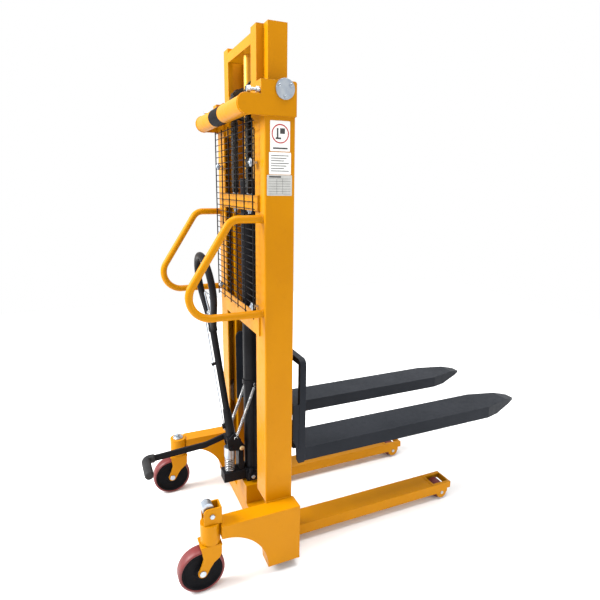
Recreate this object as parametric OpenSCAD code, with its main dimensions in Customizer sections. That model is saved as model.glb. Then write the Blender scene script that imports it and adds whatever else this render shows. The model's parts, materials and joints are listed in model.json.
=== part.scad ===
// Manual walkie stacker: a two-stage mast on a straddle chassis, raised by a foot- and hand-pumped jack.
// X is the operator's right, Y runs forward to the fork tips, Z is up. All sizes are in millimetres.
// Modules are written from the mast's rear face (Y = 0); placed() centres the machine on its footprint.

/* [Outer mast] */
// Distance from the centre line to the outer face of a column
column_x = 308; // [270:1:360]
// Front-to-back depth of a column
column_d = 114; // [96:1:136]
// Width of a column's flanges
column_w = 102; // [85:1:122]
// Thickness of the column's wall
column_t = 6; // [5:0.5:7]
// Height of the outer mast
mast_h = 1862; // [1640:1:2200]
// Radius of the column's bent edges
column_r = 8; // [7:0.5:12]

/* [Inner mast] */
// Height of the inner mast's top above the outer mast, as drawn
mast_rise = 199; // [166:1:239]
// Width of the inner upright's section
inner_w = 58; // [50:1:64]
// Depth of the inner upright's section
inner_d = 71; // [60:1:76]
// Thickness of the inner upright's flanges
inner_t = 6; // [5:0.5:7]

/* [Forks and carriage] */
// Height of the forks' top face at rest
fork_z = 470; // [460:1:540]
// Length of a fork in front of the carriage
fork_len = 1220; // [1020:10:1460]
// Width of a fork
fork_w = 157; // [134:1:176]
// Depth of a fork's side walls
fork_h = 59; // [50:1:64]
// Thickness of a fork's plates
fork_t = 6; // [5:0.5:7]
// Height of the load backrest above the forks' top face
backrest_h = 385; // [330:1:460]

/* [Chassis] */
// Width of a rear side beam
beam_w = 71; // [62:1:84]
// Height of the side beams' top face
beam_top = 278; // [270:1:300]
// Radius of the cut-out over a rear wheel
arch_r = 185; // [160:1:190]
// Length of a support leg in front of the mast
leg_len = 889; // [745:1:1060]
// Width of a support leg
leg_w = 100; // [84:1:110]
// Height of a support leg's top face
leg_top = 87; // [84:1:88]
// Radius of a leg roller
roller_r = 38; // [32:0.5:40]

/* [Casters] */
// Radius of a rear wheel
wheel_r = 90; // [76:1:94]
// Width of a rear wheel
wheel_w = 50; // [42:1:58]
// Distance from the swivel axis back to the wheel's axle
trail = 40; // [34:1:46]

/* [Hydraulics] */
// Radius of the lift cylinder's tube
cylinder_r = 36; // [30:0.5:39]
// Radius of the piston rod
rod_r = 17.5; // [15:0.5:19]
// Distance from the rocker's pivot back to the pump plunger
rocker_arm = 47; // [44:1:50]

/* [Handles] */
// Distance from the centre line to a grab handle
grab_x = 280; // [272:1:290]
// Radius of a grab handle's tube
grab_r = 14; // [11:0.5:16]
// Backward lean of the pump handle, in degrees
tiller_lean = 7.6; // [5:0.1:10]
// Length of the pump handle from its socket to the hand loop
tiller_len = 474; // [395:1:568]
// Radius of the hand loop, to the tube's centre
loop_r = 118; // [98:1:141]

/* [Clearances] */
// Radial clearance of a shaft in its bore
fit = 0.05; // [0.02:0.01:0.09]
// Gap between curved faces that run past each other
gap = 0.3; // [0.25:0.05:0.36]

/* [Hidden] */
$fn = 40;

paint = [0.96, 0.68, 0.02];
black = [0.07, 0.07, 0.08];
steel = [0.62, 0.63, 0.65];
tread = [0.45, 0.16, 0.10];

// column section
web_in = column_x - column_t;
flange_in = column_x - column_w;
mast_y = column_d / 2;
// inner upright section
inner_top = mast_h + mast_rise;
in_x0 = column_x - 118;
in_x1 = in_x0 + inner_w;
in_y1 = column_d - column_t - 2;
in_y0 = in_y1 - inner_d;
in_web1 = in_x1;
in_web0 = in_web1 - 7;
foot_z = 310;
post_x0 = in_x0 - 45;
post_x1 = in_x0 + 15;
post_y0 = column_t + 2;
post_y1 = post_y0 + 20;
// rollers
roll_y = (in_y0 + in_y1) / 2;
roll_r = inner_d / 2 - inner_t - gap;
big_r = column_d / 2 - column_t - gap;
top_pin_z = mast_h - 25;
car_roll_x1 = in_x0 + 32;
bar_x = column_x - 53;
low_roll_z = foot_z + 210;
pin_r = 10;
// carriage
car_y0 = column_d + 23;
car_y1 = car_y0 + 45;
post_out = column_x - 24;
plate_x0 = in_x0 - 14;
plate_x1 = in_x0 - 4;
// forks
fork_x1 = post_out - 1;
fork_x0 = fork_x1 - fork_w;
fork_xm = (fork_x0 + fork_x1) / 2;
tip_y = car_y1 + fork_len;
// chassis
beam_foot = 38;
cross_top = 118;
leg_y0 = column_d - 9;
leg_x1 = column_x - 48;
leg_x0 = leg_x1 - leg_w;
leg_y1 = column_d + leg_len;
axle_y = leg_y1 - 50;
// chains and sheaves
chain_x = (post_x0 + 41) / 2;
chain_w = 32;
wrap_in = 35.3;
wrap_out = 59;
sheave_y = 62;
sheave_z = inner_top - 218;
post_z = sheave_z - 120;
anchor_y = sheave_y - (wrap_in + wrap_out) / 2;
hook_y = sheave_y + (wrap_in + wrap_out) / 2;
// lift cylinder
cyl_y = 46;
cyl_z = 263;
rod = min(rod_r, cylinder_r - 8);
bar_z = inner_top - 54;
mid_z = mast_h - 430;
spring_x = cylinder_r + 16;
clamp_z = 680;
// pump and rocker
pivot_y = -14;
pivot_z = 380;
pump_y = pivot_y - rocker_arm;
press_z = 386.3;
lug_y = -45;
lug_z = 440;
// tiller
base_y = -57;
base_z = 457;
neck = tiller_len;
loop_k = 87;
ring_s = neck + loop_k + loop_r;
loop_a = asin(loop_r / (loop_k + loop_r));
loop_t = (loop_k + loop_r) * cos(loop_a);
lever_s = neck + 78;
rod_off = 24;
// casters
swivel_x = column_x + 27;
swivel_y = -235;
house_z0 = 203;
house_z1 = 285;
house_flat = -200;
wheel_y = swivel_y - trail;
grip_y = -421;
tail_y = grip_y - 19;
mid_y = (tip_y + tail_y) / 2;

module box(x0, x1, y0, y1, z0, z1) {
    translate([x0, y0, z0])
        cube([x1 - x0, y1 - y0, z1 - z0]);
}

module rod_x(x0, x1, y, z, r) {
    translate([x0, y, z])
        rotate([0, 90, 0])
            cylinder(h = x1 - x0, r = r);
}

module rod_y(x, y0, y1, z, r) {
    translate([x, y0, z])
        rotate([-90, 0, 0])
            cylinder(h = y1 - y0, r = r);
}

module rod_z(x, y, z0, z1, r) {
    translate([x, y, z0])
        cylinder(h = z1 - z0, r = r);
}

// a sheet lying in the Y-Z plane
module slab_x(x0, x1) {
    translate([x0, 0, 0])
        rotate([90, 0, 90])
            linear_extrude(height = x1 - x0)
                children();
}

// a turned part on an axis along X, drawn as [radius, distance along X]
module turned_x(y, z) {
    translate([0, y, z])
        rotate([0, 90, 0])
            rotate_extrude()
                children();
}

module both() {
    children();
    mirror([1, 0, 0])
        children();
}

module left() {
    mirror([1, 0, 0])
        children();
}

module placed() {
    translate([0, -mid_y, 0])
        children();
}

// ---- outer mast ----

module column_profile() {
    difference() {
        union() {
            translate([flange_in, 0])
                square([column_w - column_r, column_d]);
            translate([flange_in, column_r])
                square([column_w, column_d - 2 * column_r]);
            translate([column_x - column_r, column_r])
                circle(column_r);
            translate([column_x - column_r, column_d - column_r])
                circle(column_r);
        }
        translate([flange_in - 1, column_t])
            square([column_w - column_t + 1, column_d - 2 * column_t]);
    }
}

module column() {
    difference() {
        translate([0, 0, cross_top])
            linear_extrude(height = mast_h - cross_top)
                column_profile();
        // the rear flange stops above the jack's base
        box(flange_in - 1, web_in, -1, column_t + 0.01, 0, beam_top + 2);
        rod_x(web_in - 1, column_x + 1, roll_y, top_pin_z, pin_r + fit);
    }
}

module column_r() {
    color(paint)
        column();
}

module column_l() {
    color(paint)
        left()
            column();
}

tube_y = -62;
tube_z = mast_h - 78;
tube_r = 33;

module side_profile() {
    difference() {
        union() {
            translate([tube_y, tube_z])
                circle(tube_r);
            translate([tube_y, tube_z - tube_r])
                square([-14 - tube_y + 1, 2 * tube_r]);
            translate([-14, tube_z - tube_r])
                square([column_d + 14 - 8, mast_h + 1 - tube_z + tube_r]);
            translate([-14, tube_z - tube_r])
                square([column_d + 14, mast_h + 1 - tube_z + tube_r - 8]);
            translate([column_d - 8, mast_h + 1 - 8])
                circle(8);
        }
        translate([roll_y, top_pin_z])
            circle(pin_r + fit);
    }
}

module side_plate() {
    slab_x(column_x, column_x + 8)
        side_profile();
    difference() {
        box(column_x - 46, column_x + 1, -14, 0, tube_z + tube_r, mast_h + 1);
        rod_y(column_x - 8, -15, 1, mast_h - 31, 6 + fit);
    }
}

module side_plates() {
    color(paint)
        both()
            side_plate();
}

module cross_tube() {
    color(paint)
        difference() {
            rod_x(-column_x, column_x, tube_y, tube_z, tube_r);
            rod_x(-column_x - 1, column_x + 1, tube_y, tube_z, tube_r - 5);
        }
}

module mid_crossbar() {
    color(paint)
        union() {
            box(-bar_x, bar_x, -8, 0, mid_z, mid_z + 55);
            box(-15, 15, -1, cyl_y - cylinder_r - gap, mid_z, mid_z + 55);
            both()
                difference() {
                    box(chain_x - 23, chain_x + 23, -1, 30, mid_z + 4, mid_z + 55);
                    rod_z(chain_x, anchor_y, mid_z, mid_z + 56, 6 + fit);
                }
        }
}

module lower_crossbar() {
    color(paint)
        box(-bar_x, bar_x, -6, 0, mid_z - 467, mid_z - 382);
}

mesh_z0 = mid_z - 392;
mesh_n = 29;
mesh_pitch = 25;
mesh_y = -25;

module mesh_guard() {
    color(black)
        union() {
            for (x = [0.2, 0.6, 1])
                both()
                    box(x * (grab_x - 30) - 2.5, x * (grab_x - 30) + 2.5, mesh_y - 2.5, mesh_y + 2.5,
                        mesh_z0 - 8, mesh_z0 + (mesh_n - 1) * mesh_pitch + 8);
            for (i = [0 : mesh_n - 1])
                box(-grab_x + 22, grab_x - 22, mesh_y + 2.5, mesh_y + 6,
                    mesh_z0 + i * mesh_pitch - 1.75, mesh_z0 + i * mesh_pitch + 1.75);
        }
}

grab_z1 = mid_z - 25;
grab_z0 = grab_z1 - 347;
grab_y1 = -113;
grab_y0 = -334;
bend_1 = 50;
bend_0 = 78;
grab_a = atan2(grab_z1 - grab_z0, grab_y1 - grab_y0);
grab_l = norm([grab_z1 - grab_z0, grab_y1 - grab_y0]);
cut_1 = bend_1 * tan(grab_a / 2);
cut_0 = bend_0 * tan((180 - grab_a) / 2);

module grab_bend(y, z, r, a0, a1) {
    translate([grab_x, y, z])
        rotate([90, 0, 90])
            rotate([0, 0, a0])
                rotate_extrude(angle = a1 - a0)
                    translate([r, 0])
                        circle(grab_r);
}

module grab_handle() {
    collar = grab_r + 0.6;
    rod_y(grab_x, grab_y1 + cut_1, 0, grab_z1, grab_r);
    rod_y(grab_x, grab_y1 + cut_1 - 4, grab_y1 + cut_1 + 4, grab_z1, collar);
    grab_bend(grab_y1 + cut_1, grab_z1 - bend_1, bend_1, 90, 90 + grab_a);
    translate([grab_x, grab_y1 - cut_1 * cos(grab_a), grab_z1 - cut_1 * sin(grab_a)])
        rotate([90 + grab_a, 0, 0])
            union() {
                cylinder(h = grab_l - cut_1 - cut_0, r = grab_r);
                translate([0, 0, -4])
                    cylinder(h = 8, r = collar);
                translate([0, 0, grab_l - cut_1 - cut_0 - 4])
                    cylinder(h = 8, r = collar);
            }
    grab_bend(grab_y0 + cut_0, grab_z0 + bend_0, bend_0, 90 + grab_a, 270);
    rod_y(grab_x, grab_y0 + cut_0, 0, grab_z0, grab_r);
    rod_y(grab_x, grab_y0 + cut_0 - 4, grab_y0 + cut_0 + 4, grab_z0, collar);
}

module grab_handle_r() {
    color(paint)
        grab_handle();
}

module grab_handle_l() {
    color(paint)
        translate([-2 * grab_x, 0, 0])
            grab_handle();
}

// ---- chassis ----

module cross_beam() {
    color(paint)
        difference() {
            union() {
                box(-column_x, column_x, -8, leg_y0, beam_foot + 10, cross_top);
                box(-75, 75, -8, 75, cross_top - 1, 208);
            }
            box(-column_x + 8, column_x - 8, 0, leg_y0 - 8, beam_foot, cross_top - 8);
            box(-67, 67, 0, 67, cross_top - 9, 200);
        }
}

module beam_profile(inset, foot) {
    difference() {
        translate([house_flat + inset, foot])
            square([column_d + 6 - house_flat - 2 * inset, beam_top - inset - foot]);
        translate([house_flat, 40])
            circle(arch_r + inset);
    }
}

module beam() {
    difference() {
        slab_x(column_x, column_x + beam_w)
            beam_profile(0, beam_foot);
        slab_x(column_x + 6, column_x + beam_w - 6)
            beam_profile(6, beam_foot - 8);
    }
}

module beam_r() {
    color(paint)
        beam();
}

module beam_l() {
    color(paint)
        left()
            beam();
}

roller_z = roller_r;

module leg() {
    box(leg_x0, leg_x0 + 5, leg_y0, leg_y1 - 98, beam_foot, leg_top);
    box(leg_x1 - 5, leg_x1, leg_y0, leg_y1 - 98, beam_foot, leg_top);
    box(leg_x0 + 4, leg_x1 - 4, leg_y0, leg_y1 - 98, leg_top - 5, leg_top);
    box(leg_x0 + 4, leg_x1 - 4, leg_y0, leg_y1 - 98, beam_foot, beam_foot + 5);
    box(leg_x0, leg_x1, leg_y1 - 104, leg_y1 - 96, beam_foot, leg_top);
    difference() {
        union() {
            slab_x(leg_x0, leg_x0 + 8)
                tip_profile();
            slab_x(leg_x1 - 8, leg_x1)
                tip_profile();
            box(leg_x0, leg_x1, leg_y1 - 98, leg_y1, leg_top - 6, leg_top);
            box(leg_x0, leg_x1, leg_y1 - 6, leg_y1, 56, leg_top);
        }
        box(leg_x0 + 17, leg_x1 - 16, leg_y1 - 94, leg_y1 - 8, leg_top - 8, leg_top + 1);
        rod_x(leg_x0 - 1, leg_x1 + 1, axle_y, roller_z, 8 + fit);
    }
}

module tip_profile() {
    translate([axle_y, roller_z])
        circle(28);
    translate([leg_y1 - 103, beam_foot])
        square([103 - 18, leg_top - beam_foot]);
    translate([leg_y1 - 40, 56])
        square([40, leg_top - 56]);
}

module leg_r() {
    color(paint)
        leg();
}

module leg_l() {
    color(paint)
        left()
            leg();
}

module leg_axles() {
    color(steel)
        both()
            rod_x(leg_x0 - 2, leg_x1 + 2, axle_y, roller_z, 8);
}

module leg_roller() {
    turned_x(axle_y, roller_z)
        polygon([[8 + fit, leg_x0 + 9], [14, leg_x0 + 9], [14, leg_x0 + 18], [roller_r - 3, leg_x0 + 18],
            [roller_r, leg_x0 + 21], [roller_r, leg_x1 - 21], [roller_r - 3, leg_x1 - 18],
            [14, leg_x1 - 18], [14, leg_x1 - 9], [8 + fit, leg_x1 - 9]]);
}

module leg_roller_r() {
    color(tread)
        leg_roller();
}

module leg_roller_l() {
    color(tread)
        left()
            leg_roller();
}

// ---- casters and brake ----

module housing() {
    difference() {
        rod_z(swivel_x, swivel_y, house_z0, house_z1, 38);
        box(swivel_x - 40, swivel_x + 40, house_flat, house_flat + 10, house_z0 - 1, house_z1 + 1);
        rod_z(swivel_x, swivel_y, house_z0 - 1, house_z1 - 4, 14 + fit);
    }
}

module caster_housings() {
    color(paint)
        both()
            housing();
}

arm_in = wheel_w / 2 + 3;
arm_out = arm_in + 6;

module arm_profile() {
    difference() {
        union() {
            translate([wheel_y, wheel_r])
                circle(18);
            polygon([[wheel_y - 3, 194], [swivel_y + 36, 194], [swivel_y + 35, 158], [swivel_y + 26, 142],
                [wheel_y + 44, 126], [wheel_y + 30, 106], [wheel_y + 15, wheel_r - 10],
                [wheel_y - 15, wheel_r + 10], [wheel_y - 4, 124], [wheel_y + 4, 150]]);
        }
        translate([wheel_y, wheel_r])
            circle(8 + fit);
    }
}

module caster_fork() {
    slab_x(swivel_x - arm_out, swivel_x - arm_in)
        arm_profile();
    slab_x(swivel_x + arm_in, swivel_x + arm_out)
        arm_profile();
    box(swivel_x - arm_out, swivel_x + arm_out, wheel_y - 4, swivel_y + 38, 192, 200);
    rod_z(swivel_x, swivel_y, 199, house_z1 - 5, 14);
}

module caster_fork_r() {
    color(paint)
        caster_fork();
}

module caster_fork_l() {
    color(paint)
        left()
            caster_fork();
}

module caster_axle() {
    rod_x(swivel_x - arm_out - 4, swivel_x + arm_out + 4, wheel_y, wheel_r, 8);
    rod_x(swivel_x + arm_out, swivel_x + arm_out + 4, wheel_y, wheel_r, 12);
    rod_x(swivel_x - arm_out - 4, swivel_x - arm_out, wheel_y, wheel_r, 12);
}

module caster_axle_r() {
    color(steel)
        caster_axle();
}

module caster_axle_l() {
    color(steel)
        left()
            caster_axle();
}

module caster_wheel() {
    a = swivel_x - wheel_w / 2;
    b = swivel_x + wheel_w / 2;
    turned_x(wheel_y, wheel_r)
        polygon([[8 + fit, a - 2], [20, a - 2], [24, a + 8], [wheel_r - 22, a + 8], [wheel_r - 18, a],
            [wheel_r - 4, a], [wheel_r, a + 4], [wheel_r, b - 4], [wheel_r - 4, b], [wheel_r - 18, b],
            [wheel_r - 22, b - 8], [24, b - 8], [20, b + 2], [8 + fit, b + 2]]);
}

module caster_wheel_r() {
    color(tread)
        caster_wheel();
}

module caster_wheel_l() {
    color(tread)
        left()
            caster_wheel();
}

brake_x0 = swivel_x - 27;
brake_x1 = swivel_x + 27;
brake_y = -231;
brake_z = 321;
cam_y = -245;
cam_z = 350;

module ear_profile() {
    difference() {
        union() {
            translate([-262, house_z1])
                square([68, 45]);
            translate([-244, house_z1 + 44])
                square([50, 23]);
            translate([-244, house_z1 + 49])
                circle(18);
        }
        translate([brake_y, brake_z])
            circle(6 + fit);
    }
}

module brake_bracket() {
    color(paint)
        union() {
            slab_x(brake_x0, brake_x0 + 6)
                ear_profile();
            slab_x(brake_x1 - 6, brake_x1)
                ear_profile();
            box(brake_x0 + 5, brake_x1 - 5, -262, -194, house_z1, house_z1 + 6);
            box(brake_x0 + 5, brake_x1 - 5, -200, -194, house_z1, house_z1 + 67);
        }
}

module brake_pedal() {
    color(steel)
        difference() {
            union() {
                rod_x(brake_x0 + 7, brake_x1 - 7, brake_y, brake_z, 11);
                rod_x(brake_x0 + 10, brake_x1 - 10, cam_y, cam_z, 22);
                slab_x(brake_x0 + 12, brake_x1 - 12)
                    polygon([[brake_y - 10, brake_z - 4], [brake_y + 10, brake_z + 4],
                        [cam_y + 20, cam_z + 8], [cam_y - 20, cam_z - 8]]);
            }
            rod_x(brake_x0, brake_x1, brake_y, brake_z, 6 + fit);
        }
}

// ---- lift cylinder and pump ----

module lift_cylinder() {
    color(black)
        difference() {
            union() {
                rod_z(0, cyl_y, cyl_z, mid_z + 89, cylinder_r);
                rod_z(0, cyl_y, mid_z + 88, mid_z + 118, cylinder_r + 2);
                rod_z(0, cyl_y, clamp_z - 10, clamp_z + 10, cylinder_r + 4.5);
                rod_x(-spring_x - 8, spring_x + 8, cyl_y, clamp_z, 5);
            }
            rod_z(0, cyl_y, cyl_z + 12, mid_z + 88, cylinder_r - 6);
            rod_z(0, cyl_y, mid_z + 87, mid_z + 119, rod + fit + 0.01);
        }
}

module pump_body() {
    color(black)
        difference() {
            union() {
                box(-42, 42, 8, cyl_y + cylinder_r + 2, 208, cyl_z);
                box(-30, 30, pump_y - 34, 9, 218, cyl_z);
                rod_z(0, pump_y, cyl_z - 1, cyl_z + 81.5, 14);
                box(-24, 24, pivot_y - 12, pivot_y + 12, cyl_z - 1, pivot_z);
                rod_x(-24, 24, pivot_y, pivot_z, 12);
                box(41, 60, 12, 48, 224, 254);
                rod_z(51, 22, 253, 276, 7);
            }
            rod_x(-25, 25, pivot_y, pivot_z, pin_r + fit);
        }
}

module plunger() {
    color(steel)
        difference() {
            rod_z(0, pump_y, cyl_z + 66, cyl_z + 115, 24);
            rod_z(0, pump_y, cyl_z + 65, cyl_z + 111.5, 14 + fit + 0.01);
        }
}

module pump_spring() {
    color(steel)
        difference() {
            rod_z(0, pump_y, cyl_z + gap, cyl_z + 65.7, 22.7);
            rod_z(0, pump_y, cyl_z - 1, cyl_z + 67, 18.5);
        }
}

// ---- chains ----

module anchor_bolt(y, z0, z1, n0, n1) {
    rod_z(chain_x, y, z0, z1, 6);
    translate([chain_x, y, n0 - 12])
        cylinder(h = 12, r = 10.5, $fn = 6);
    translate([chain_x, y, n1])
        cylinder(h = 8, r = 10.5, $fn = 6);
}

module chain_anchors() {
    color(steel)
        both()
            anchor_bolt(anchor_y, mid_z - 17, mid_z + 68, mid_z + 4, mid_z + 55);
}

module carriage_anchors() {
    color(steel)
        both()
            anchor_bolt(hook_y, fork_z + 155, fork_z + 220, fork_z + 175, fork_z + 190);
}

module chains_rear() {
    color(black)
        both()
            box(chain_x - chain_w / 2, chain_x + chain_w / 2, sheave_y - wrap_out, sheave_y - wrap_in,
                mid_z + 68, sheave_z);
}

module chains_front() {
    color(black)
        both()
            box(chain_x - chain_w / 2, chain_x + chain_w / 2, sheave_y + wrap_in, sheave_y + wrap_out,
                fork_z + 220, sheave_z);
}

module chain_wraps() {
    color(black)
        both()
            slab_x(chain_x - chain_w / 2, chain_x + chain_w / 2)
                difference() {
                    translate([sheave_y, sheave_z])
                        circle(wrap_out);
                    translate([sheave_y, sheave_z])
                        circle(wrap_in);
                    translate([sheave_y - 60, sheave_z - 60])
                        square([120, 60]);
                }
}

module sheaves() {
    a = chain_x - chain_w / 2;
    b = chain_x + chain_w / 2;
    color(steel)
        both()
            turned_x(sheave_y, sheave_z)
                polygon([[pin_r + fit, a - 4.5], [62, a - 4.5], [62, a - gap], [wrap_in - gap, a - gap],
                    [wrap_in - gap, b + gap], [62, b + gap], [62, b + 4.5], [pin_r + fit, b + 4.5]]);
}

// ---- inner mast ----

module inner_upright() {
    box(in_x0, in_x1, in_y0, in_y0 + inner_t, foot_z, inner_top);
    box(in_x0, in_x1, in_y1 - inner_t, in_y1, foot_z, inner_top);
    box(in_web0, in_web1, in_y0 + inner_t - 1, in_y1 - inner_t + 1, foot_z, inner_top);
    box(post_x0, post_x1, post_y0, post_y1, post_z, inner_top);
    box(in_x0 + 2, post_x1, post_y1 - 1, in_y0 + 1, post_z, inner_top);
    rod_x(in_web1 - 1, web_in - 2, mast_y, low_roll_z, pin_r);
}

module inner_upright_r() {
    color(paint)
        inner_upright();
}

module inner_upright_l() {
    color(paint)
        left()
            inner_upright();
}

module inner_crossbars() {
    color(paint)
        union() {
            box(-post_x0, post_x0, post_y0, 88, bar_z, bar_z + 36);
            box(-in_web0, in_web0, in_y1 - inner_t - 16, in_y1 - inner_t, foot_z, foot_z + 18);
        }
}

module sheave_brackets() {
    color(paint)
        both()
            union() {
                box(post_x0 - 8, post_x0, post_y0, 92, sheave_z - 35, sheave_z + 35);
                rod_x(chain_x - chain_w / 2 - 6, post_x0 - 7, sheave_y, sheave_z, pin_r);
            }
}

module piston_rod() {
    color(steel)
        union() {
            rod_z(0, cyl_y, 470, bar_z, rod);
            rod_z(0, cyl_y, 470, 495, cylinder_r - 6 - fit);
        }
}

// ---- rollers ----

module ring_x(x0, x1, y, z, r) {
    turned_x(y, z)
        polygon([[pin_r + fit, x0], [r - 2, x0], [r, x0 + 2], [r, x1 - 2], [r - 2, x1], [pin_r + fit, x1]]);
}

module guide_pads() {
    color(black)
        both()
            difference() {
                rod_x(in_x1 + gap, web_in, roll_y, top_pin_z, 29);
                rod_x(in_x1 + 6, web_in + 1, roll_y, top_pin_z, pin_r + fit);
            }
}

module mast_rollers() {
    color(steel)
        both()
            ring_x(in_x1 + 4, web_in - 2, mast_y, low_roll_z, big_r);
}

module carriage_rollers_upper() {
    color(steel)
        both()
            ring_x(in_x0, car_roll_x1, roll_y, fork_z + backrest_h - 55, roll_r);
}

module carriage_rollers_lower() {
    color(steel)
        both()
            ring_x(in_x0, car_roll_x1, roll_y, fork_z + 90, roll_r);
}

module roller_axles() {
    color(steel)
        both()
            union() {
                rod_x(in_x1 + 6, column_x + 9, roll_y, top_pin_z, pin_r);
                rod_x(column_x + 8, column_x + 12, roll_y, top_pin_z, 34);
            }
}

// ---- carriage and forks ----

module plate_profile() {
    y0 = in_y0 - 4;
    z0 = fork_z + 50;
    z1 = fork_z + backrest_h;
    translate([y0, z0])
        square([car_y0 + 1 - y0, z1 - 25 - z0]);
    translate([y0 + 25, z1 - 26])
        square([car_y0 + 1 - y0 - 25, 26]);
    translate([y0 + 25, z1 - 25])
        circle(25);
}

module carriage_frame() {
    color(black)
        union() {
            box(-post_out + 20, post_out - 20, car_y0, car_y1, fork_z - 0.5, fork_z + 60);
            box(-post_out + 20, post_out - 20, car_y0, car_y1, fork_z + 140, fork_z + 190);
            both()
                union() {
                    slab_x(plate_x0, plate_x1)
                        plate_profile();
                    rod_x(plate_x1 - 1, car_roll_x1 + 3, roll_y, fork_z + 90, pin_r);
                    rod_x(plate_x1 - 1, car_roll_x1 + 3, roll_y, fork_z + backrest_h - 55, pin_r);
                    difference() {
                        box(chain_x - 18, chain_x + 18, sheave_y + 34, car_y0 + 1, fork_z + 175, fork_z + 190);
                        rod_z(chain_x, hook_y, fork_z + 174, fork_z + 191, 6 + fit);
                    }
                }
        }
}

module carriage_cheeks() {
    color(black)
        both()
            slab_x(post_out - 8, post_out)
                polygon([[car_y0 - 11, fork_z + 196], [car_y0 - 11, fork_z + 45], [car_y0 + 5, fork_z + 10],
                    [car_y0 + 8, fork_z - 50], [car_y0 + 18, fork_z - 62], [car_y0 + 18, fork_z + 196]]);
}

module backrest_profile() {
    x = post_out;
    z = fork_z + backrest_h;
    for (s = [0, 1])
        mirror([s, 0])
            union() {
                polygon([[x - 20, fork_z - 68], [x - 6, fork_z - 68], [x, fork_z - 56], [x, z - 25],
                    [x - 20, z - 25]]);
                translate([x - 25, z - 25])
                    intersection() {
                        difference() {
                            circle(25);
                            circle(5);
                        }
                        square(30);
                    }
            }
    translate([-x + 25, z - 25])
        square([2 * x - 50, 25]);
}

module backrest() {
    color(black)
        translate([0, car_y1, 0])
            rotate([90, 0, 0])
                linear_extrude(height = 27)
                    backrest_profile();
}

// plan of a fork, with the point drawn in
module fork_plan(inset) {
    y0 = tip_y - 216;
    polygon([[fork_x0 + inset, car_y1 - 1], [fork_x1 - inset, car_y1 - 1], [fork_x1 - inset, y0],
        [fork_xm + 34 - inset, tip_y - 30], [fork_xm + 22 - inset, tip_y - inset],
        [fork_xm - 22 + inset, tip_y - inset], [fork_xm - 34 + inset, tip_y - 30], [fork_x0 + inset, y0]]);
}

module fork_side(inset) {
    z0 = fork_z - fork_h;
    polygon([[car_y1 - 2, fork_z - inset], [tip_y - 70, fork_z - inset], [tip_y + 1, fork_z - 13 - inset],
        [tip_y + 1, z0 + 36 - 2 * inset], [tip_y - 139, z0 - 2 * inset], [car_y1 - 2, z0 - 2 * inset]]);
}

module fork_body(inset) {
    intersection() {
        translate([0, 0, fork_z - 120])
            linear_extrude(height = 140)
                fork_plan(inset);
        slab_x(fork_x0 - 1, fork_x1 + 1)
            fork_side(inset);
    }
}

module fork() {
    difference() {
        fork_body(0);
        fork_body(fork_t);
        box(fork_x0 - 1, fork_x1 + 1, car_y1 - 3, car_y1, fork_z - 130, fork_z + 1);
    }
    // tongue under the lower crossbar
    box(fork_x0, post_out - 22, car_y0, car_y1 + 1, fork_z - fork_t, fork_z - 0.5);
    box(fork_x0, fork_x0 + fork_t, car_y0, car_y1 + 1, fork_z - fork_h, fork_z - 0.5);
}

module fork_r() {
    color(black)
        fork();
}

module fork_l() {
    color(black)
        left()
            fork();
}

// ---- tiller ----

module along_tiller(s) {
    translate([0, base_y, base_z])
        rotate([tiller_lean, 0, 0])
            translate([0, 0, s])
                children();
}

module cheek_profile() {
    translate([pivot_y, pivot_z])
        circle(16);
    translate([pump_y, press_z])
        circle(14);
    translate([lug_y, lug_z])
        circle(12);
    polygon([[pivot_y + 13, pivot_z + 9], [pivot_y - 2, pivot_z - 16], [pump_y - 2, press_z - 14],
        [pump_y - 14, press_z], [pump_y - 18, press_z + 36], [lug_y - 10, lug_z + 7], [lug_y + 11, lug_z + 5]]);
}

module rocker() {
    color(black)
        union() {
            both()
                slab_x(26, 33)
                    cheek_profile();
            rod_x(-38, 38, pivot_y, pivot_z, pin_r);
            rod_x(-39, 39, pump_y, press_z, 8);
            rod_x(-spring_x - 7, -27, lug_y, lug_z, 5);
            rod_x(27, spring_x + 7, lug_y, lug_z, 5);
            box(-27, 27, pump_y - 16, lug_y + 10, 412, 432);
            along_tiller(-32)
                cylinder(h = 137, r1 = 22, r2 = 17);
            along_tiller(20)
                guide(20);
        }
}

// an eye that carries the release rod behind the tube
module guide(h) {
    difference() {
        translate([-6, -rod_off - 7, 0])
            cube([12, rod_off - 4, h]);
        translate([0, -rod_off, -1])
            cylinder(h = h + 2, r = 3 + fit);
    }
}

module pedal_bar() {
    color(black)
        slab_x(-43, -33)
            polygon([[pump_y - 15, 399], [pump_y + 31, 402], [pump_y + 31, 428], [pump_y - 13, 425],
                [-158, 401], [-385, 386], [-385, 360], [-162, 375]]);
}

module pedal_grip() {
    color(black)
        union() {
            rod_y(-38, -400, -385, 373, 19);
            translate([-17, -400, 373])
                rotate([0, 0, 180])
                    rotate_extrude(angle = 90)
                        translate([21, 0])
                            circle(19);
            rod_x(-17, 88, grip_y, 373, 19);
            translate([88, grip_y, 373])
                rotate([0, 90, 0])
                    cylinder(h = 7, r1 = 19, r2 = 12);
        }
}

module tiller_tube() {
    color(black)
        difference() {
            union() {
                along_tiller(105)
                    cylinder(h = neck - 105, r = 14.5);
                along_tiller(neck - 150)
                    guide(10);
            }
            along_tiller(104)
                cylinder(h = neck - 110, r = 11.5);
        }
}

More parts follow.
